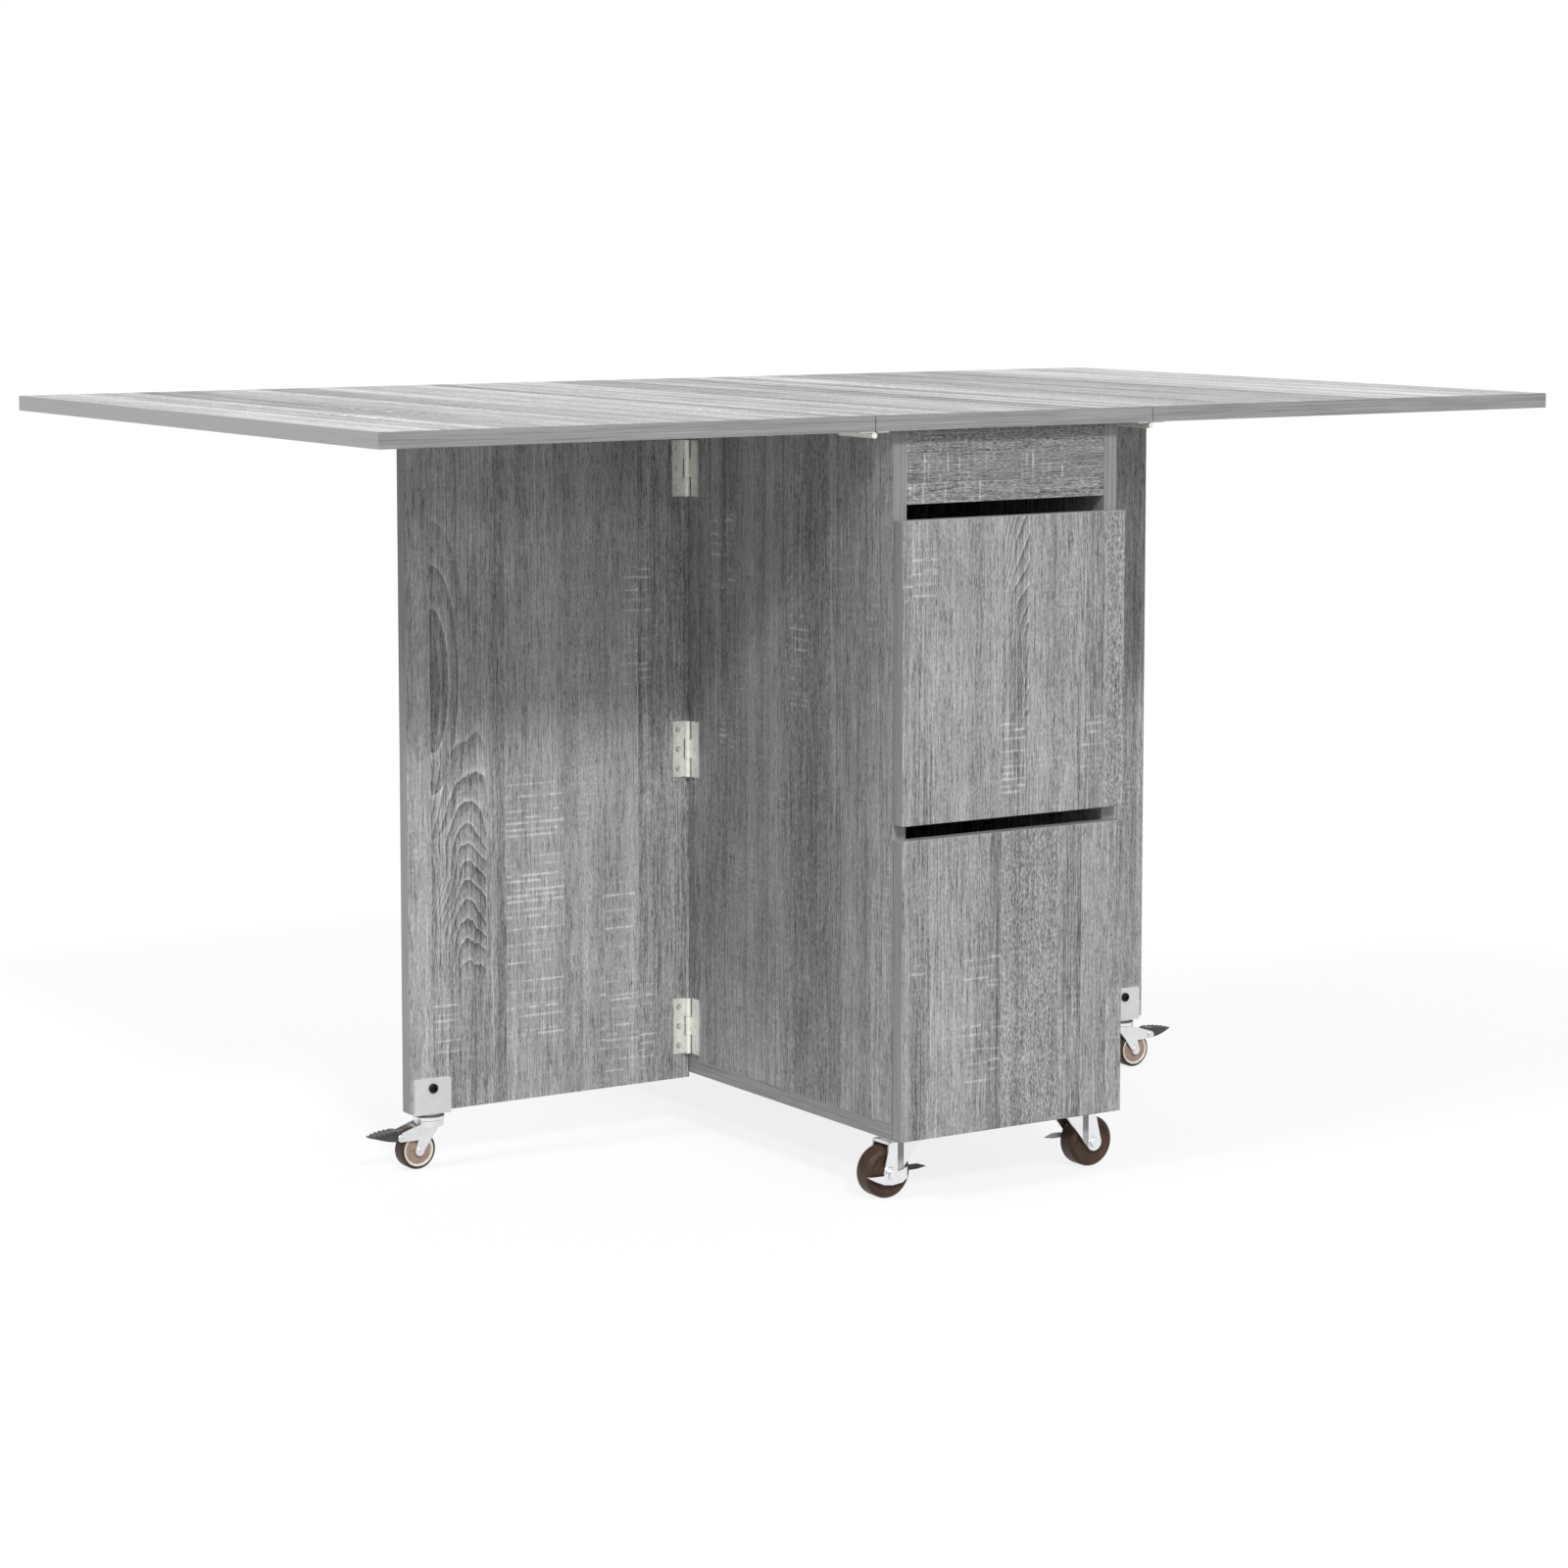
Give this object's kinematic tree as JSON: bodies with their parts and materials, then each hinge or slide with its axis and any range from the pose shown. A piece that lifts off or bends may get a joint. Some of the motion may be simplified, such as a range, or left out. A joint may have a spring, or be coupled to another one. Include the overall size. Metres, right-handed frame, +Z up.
{
  "type": "folding dining table",
  "caption": "Drop-leaf dining table: narrow drawer cabinet on casters, hinged leaves carried by swing-out gates with wheeled feet.",
  "frame": {"origin": "on the floor, under the middle of the opened top", "axes": "+X along the opened top, +Y from the drawer fronts to the back, +Z up"},
  "size_m": [1.35, 0.8, 0.75],
  "materials": {
    "grey_wood_board": "matt grey wood-print laminate with rough-sawn marks",
    "drawer_board": "plain pale grey laminate",
    "beech_dowel": "plain turned beech",
    "zinc_steel": "bright zinc plate",
    "pale_grey_metal": "satin pale grey coat",
    "black_plastic": "matt black, ribbed",
    "brown_tread": "satin dark brown",
    "tan_hub": "satin tan with a pale ring"
  },
  "bodies": {
    "cabinet": {"centre_top": "grey_wood_board", "left_side_panel": "grey_wood_board", "right_side_panel": "grey_wood_board", "bottom_panel": "grey_wood_board", "back_panel": "grey_wood_board", "front_rail": "grey_wood_board", "joining_dowels": "beech_dowel", "top_angle_brackets": "zinc_steel", "cabinet_slide_rails": "zinc_steel", "leaf_hinge_fixed_plates": "zinc_steel", "leaf_hinge_pins": "zinc_steel", "gate_hinge_fixed_plates": "zinc_steel", "gate_hinge_pins": "zinc_steel", "caster_plates": "zinc_steel", "cabinet_screws": "zinc_steel"},
    "left_leaf": {"left_leaf": "grey_wood_board", "left_leaf_hinge_plates": "zinc_steel", "left_leaf_screws": "zinc_steel"},
    "right_leaf": {"right_leaf": "grey_wood_board", "right_leaf_hinge_plates": "zinc_steel", "right_leaf_screws": "zinc_steel"},
    "upper_drawer": {"upper_drawer_front": "grey_wood_board", "upper_drawer_sides": "drawer_board", "upper_drawer_back": "drawer_board", "upper_drawer_bottom": "drawer_board", "upper_drawer_slides": "zinc_steel"},
    "lower_drawer": {"lower_drawer_front": "grey_wood_board", "lower_drawer_sides": "drawer_board", "lower_drawer_back": "drawer_board", "lower_drawer_bottom": "drawer_board", "lower_drawer_slides": "zinc_steel"},
    "left_gate": {"left_gate_panel": "grey_wood_board", "left_gate_hinge_plates": "zinc_steel", "left_gate_fasteners": "zinc_steel", "left_gate_bracket": "pale_grey_metal", "left_gate_swivel_head": "zinc_steel"},
    "left_gate_fork": {"left_gate_caster_fork": "zinc_steel"},
    "left_gate_wheel": {"left_gate_caster_hub": "tan_hub", "left_gate_caster_tyre": "brown_tread"},
    "left_gate_pedal": {"left_gate_caster_pedal": "black_plastic"},
    "right_gate": {"right_gate_panel": "grey_wood_board", "right_gate_hinge_plates": "zinc_steel", "right_gate_fasteners": "zinc_steel", "right_gate_bracket": "pale_grey_metal", "right_gate_swivel_head": "zinc_steel"},
    "right_gate_fork": {"right_gate_caster_fork": "zinc_steel"},
    "right_gate_wheel": {"right_gate_caster_hub": "tan_hub", "right_gate_caster_tyre": "brown_tread"},
    "right_gate_pedal": {"right_gate_caster_pedal": "black_plastic"},
    "front_left_fork": {"front_left_caster_fork": "zinc_steel"},
    "front_left_wheel": {"front_left_caster_wheel": "brown_tread"},
    "front_left_lever": {"front_left_brake_lever": "zinc_steel"},
    "front_right_fork": {"front_right_caster_fork": "zinc_steel"},
    "front_right_wheel": {"front_right_caster_wheel": "brown_tread"},
    "front_right_lever": {"front_right_brake_lever": "zinc_steel"},
    "rear_left_fork": {"rear_left_caster_fork": "zinc_steel"},
    "rear_left_wheel": {"rear_left_caster_wheel": "brown_tread"},
    "rear_right_fork": {"rear_right_caster_fork": "zinc_steel"},
    "rear_right_wheel": {"rear_right_caster_wheel": "brown_tread"}
  },
  "joints": [
    {"name": "left_leaf_hinge", "type": "hinge", "parent": "cabinet", "child": "left_leaf", "pos_m": [-0.1615, 0, 0.7316], "axis": [0, 1, 0], "range_deg": [0, 2.5]},
    {"name": "right_leaf_hinge", "type": "hinge", "parent": "cabinet", "child": "right_leaf", "pos_m": [0.1615, 0, 0.7316], "axis": [0, -1, 0], "range_deg": [0, 2.5]},
    {"name": "upper_drawer_slide", "type": "slide", "parent": "cabinet", "child": "upper_drawer", "axis": [0, -1, 0], "range_m": [0, 0.3]},
    {"name": "lower_drawer_slide", "type": "slide", "parent": "cabinet", "child": "lower_drawer", "axis": [0, -1, 0], "range_m": [0, 0.3]},
    {"name": "left_gate_hinge", "type": "hinge", "parent": "cabinet", "child": "left_gate", "pos_m": [-0.1339, -0.0204, 0.393], "axis": [0, 0, 1], "range_deg": [0, 84]},
    {"name": "left_gate_swivel", "type": "hinge", "parent": "left_gate", "child": "left_gate_fork", "pos_m": [-0.4275, -0.0095, 0.045], "axis": [0, 0, 1], "continuous": true},
    {"name": "left_gate_wheel_spin", "type": "hinge", "parent": "left_gate_fork", "child": "left_gate_wheel", "pos_m": [-0.443, -0.0095, 0.019], "axis": [0, 1, 0], "continuous": true},
    {"name": "left_gate_brake_press", "type": "hinge", "parent": "left_gate_fork", "child": "left_gate_pedal", "pos_m": [-0.463, -0.0095, 0.034], "axis": [0, -1, 0], "range_deg": [0, 10]},
    {"name": "right_gate_hinge", "type": "hinge", "parent": "cabinet", "child": "right_gate", "pos_m": [0.1339, -0.0204, 0.393], "axis": [0, 0, -1], "range_deg": [0, 84]},
    {"name": "right_gate_swivel", "type": "hinge", "parent": "right_gate", "child": "right_gate_fork", "pos_m": [0.4275, -0.0095, 0.045], "axis": [0, 0, 1], "continuous": true},
    {"name": "right_gate_wheel_spin", "type": "hinge", "parent": "right_gate_fork", "child": "right_gate_wheel", "pos_m": [0.443, -0.0095, 0.019], "axis": [0, 1, 0], "continuous": true},
    {"name": "right_gate_brake_press", "type": "hinge", "parent": "right_gate_fork", "child": "right_gate_pedal", "pos_m": [0.463, -0.0095, 0.034], "axis": [0, 1, 0], "range_deg": [0, 10]},
    {"name": "front_left_swivel", "type": "hinge", "parent": "cabinet", "child": "front_left_fork", "pos_m": [-0.101, -0.355, 0.053], "axis": [0, 0, 1], "continuous": true},
    {"name": "front_left_wheel_spin", "type": "hinge", "parent": "front_left_fork", "child": "front_left_wheel", "pos_m": [-0.121, -0.355, 0.025], "axis": [0, 1, 0], "continuous": true},
    {"name": "front_left_brake_lever_tip", "type": "hinge", "parent": "front_left_fork", "child": "front_left_lever", "pos_m": [-0.121, -0.355, 0.025], "axis": [0, 1, 0], "range_deg": [-15, 15]},
    {"name": "front_right_swivel", "type": "hinge", "parent": "cabinet", "child": "front_right_fork", "pos_m": [0.101, -0.355, 0.053], "axis": [0, 0, 1], "continuous": true},
    {"name": "front_right_wheel_spin", "type": "hinge", "parent": "front_right_fork", "child": "front_right_wheel", "pos_m": [0.121, -0.355, 0.025], "axis": [0, 1, 0], "continuous": true},
    {"name": "front_right_brake_lever_tip", "type": "hinge", "parent": "front_right_fork", "child": "front_right_lever", "pos_m": [0.121, -0.355, 0.025], "axis": [0, 1, 0], "range_deg": [-15, 15]},
    {"name": "rear_left_swivel", "type": "hinge", "parent": "cabinet", "child": "rear_left_fork", "pos_m": [-0.101, 0.3553, 0.053], "axis": [0, 0, 1], "continuous": true},
    {"name": "rear_left_wheel_spin", "type": "hinge", "parent": "rear_left_fork", "child": "rear_left_wheel", "pos_m": [-0.121, 0.3553, 0.025], "axis": [0, 1, 0], "continuous": true},
    {"name": "rear_right_swivel", "type": "hinge", "parent": "cabinet", "child": "rear_right_fork", "pos_m": [0.101, 0.3553, 0.053], "axis": [0, 0, 1], "continuous": true},
    {"name": "rear_right_wheel_spin", "type": "hinge", "parent": "rear_right_fork", "child": "rear_right_wheel", "pos_m": [0.121, 0.3553, 0.025], "axis": [0, 1, 0], "continuous": true}
  ]
}
